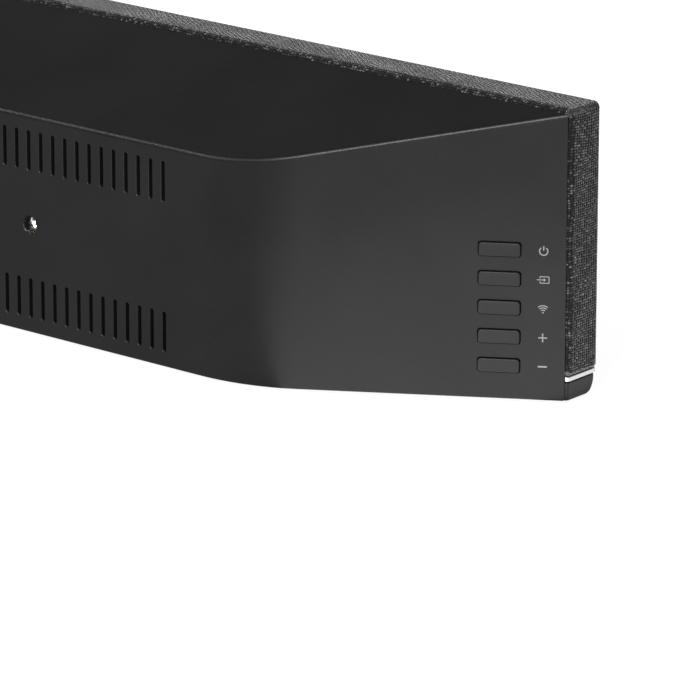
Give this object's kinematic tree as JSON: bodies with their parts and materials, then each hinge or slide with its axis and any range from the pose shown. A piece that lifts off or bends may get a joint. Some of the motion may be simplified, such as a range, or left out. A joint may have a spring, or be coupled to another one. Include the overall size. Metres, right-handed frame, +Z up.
{
  "type": "sound bar",
  "caption": "Wide, low sound bar with a cloth grille, slanted housing ends, a column of push buttons on one end and a connector recess behind.",
  "frame": {"origin": "centre of the footprint at table level, under the feet", "axes": "+X along the bar, the listener sits towards -Y, the back panel faces +Y, +Z is up; the buttons are on the end at -X"},
  "size_m": [0.914, 0.058, 0.081],
  "materials": {
    "shell_plastic": "fine moulded texture, charcoal",
    "button_plastic": "fine satin, dark grey",
    "inner_plastic": "plain moulded black",
    "grille_cloth": "open woven polyester, black and grey yarns",
    "silver_trim": "satin silver",
    "steel": "zinc plated",
    "brass": "turned",
    "rubber": "matt",
    "cone_paper": "coated pulp",
    "magnet_black": "satin black",
    "circuit_board": "solder mask, green",
    "aluminium": "extruded",
    "winding": "taped winding",
    "cable_sleeve": "smooth sleeve"
  },
  "bodies": {
    "chassis": {"rear_housing": "shell_plastic", "bottom_cap": "shell_plastic", "front_baffle": "inner_plastic", "grille_frame": "inner_plastic", "connector_tray": "inner_plastic", "power_inlet": "inner_plastic", "optical_socket": "inner_plastic", "audio_socket": "inner_plastic", "grille_cloth": "grille_cloth", "trim_strip": "silver_trim", "tv_audio_socket": "steel", "service_socket": "steel", "button_board": "circuit_board", "main_board": "circuit_board", "power_board": "circuit_board", "indicator_board": "circuit_board", "heat_sink": "aluminium", "transformer": "winding", "capacitor": "magnet_black", "button_cable": "cable_sleeve", "driver_basket_left": "steel", "driver_magnet_left": "magnet_black", "driver_surround_left": "rubber", "driver_gasket_left": "rubber", "wall_insert_left": "brass", "speaker_cable_left": "cable_sleeve", "foot_front_left": "rubber", "foot_rear_left": "rubber", "driver_screw_left_1": "steel", "driver_screw_left_2": "steel", "driver_screw_left_3": "steel", "driver_screw_left_4": "steel", "driver_basket_right": "steel", "driver_magnet_right": "magnet_black", "driver_surround_right": "rubber", "driver_gasket_right": "rubber", "wall_insert_right": "brass", "speaker_cable_right": "cable_sleeve", "foot_front_right": "rubber", "foot_rear_right": "rubber", "driver_screw_right_1": "steel", "driver_screw_right_2": "steel", "driver_screw_right_3": "steel", "driver_screw_right_4": "steel", "housing_screw_1": "steel", "housing_screw_2": "steel", "housing_screw_3": "steel", "housing_screw_4": "steel", "housing_screw_5": "steel", "housing_screw_6": "steel"},
    "volume_down_button": {"volume_down_button": "button_plastic"},
    "volume_up_button": {"volume_up_button": "button_plastic"},
    "wireless_button": {"wireless_button": "button_plastic"},
    "input_button": {"input_button": "button_plastic"},
    "power_button": {"power_button": "button_plastic"},
    "cone_left": {"driver_cone_left": "cone_paper", "dust_cap_left": "cone_paper"},
    "cone_right": {"driver_cone_right": "cone_paper", "dust_cap_right": "cone_paper"}
  },
  "joints": [
    {"name": "volume_down_press", "type": "slide", "parent": "chassis", "child": "volume_down_button", "axis": [0.5234, -0.8521, 0], "range_m": [0, 0.0006], "stiffness_N_per_m": 800},
    {"name": "volume_up_press", "type": "slide", "parent": "chassis", "child": "volume_up_button", "axis": [0.5234, -0.8521, 0], "range_m": [0, 0.0006], "stiffness_N_per_m": 800},
    {"name": "wireless_press", "type": "slide", "parent": "chassis", "child": "wireless_button", "axis": [0.5234, -0.8521, 0], "range_m": [0, 0.0006], "stiffness_N_per_m": 800},
    {"name": "input_press", "type": "slide", "parent": "chassis", "child": "input_button", "axis": [0.5234, -0.8521, 0], "range_m": [0, 0.0006], "stiffness_N_per_m": 800},
    {"name": "power_press", "type": "slide", "parent": "chassis", "child": "power_button", "axis": [0.5234, -0.8521, 0], "range_m": [0, 0.0006], "stiffness_N_per_m": 800},
    {"name": "cone_stroke_left", "type": "slide", "parent": "chassis", "child": "cone_left", "axis": [0, -1, 0], "range_m": [-0.0015, 0.0015], "stiffness_N_per_m": 1200, "deforming": ["driver_surround_left"]},
    {"name": "cone_stroke_right", "type": "slide", "parent": "chassis", "child": "cone_right", "axis": [0, -1, 0], "range_m": [-0.0015, 0.0015], "stiffness_N_per_m": 1200, "deforming": ["driver_surround_right"]}
  ]
}
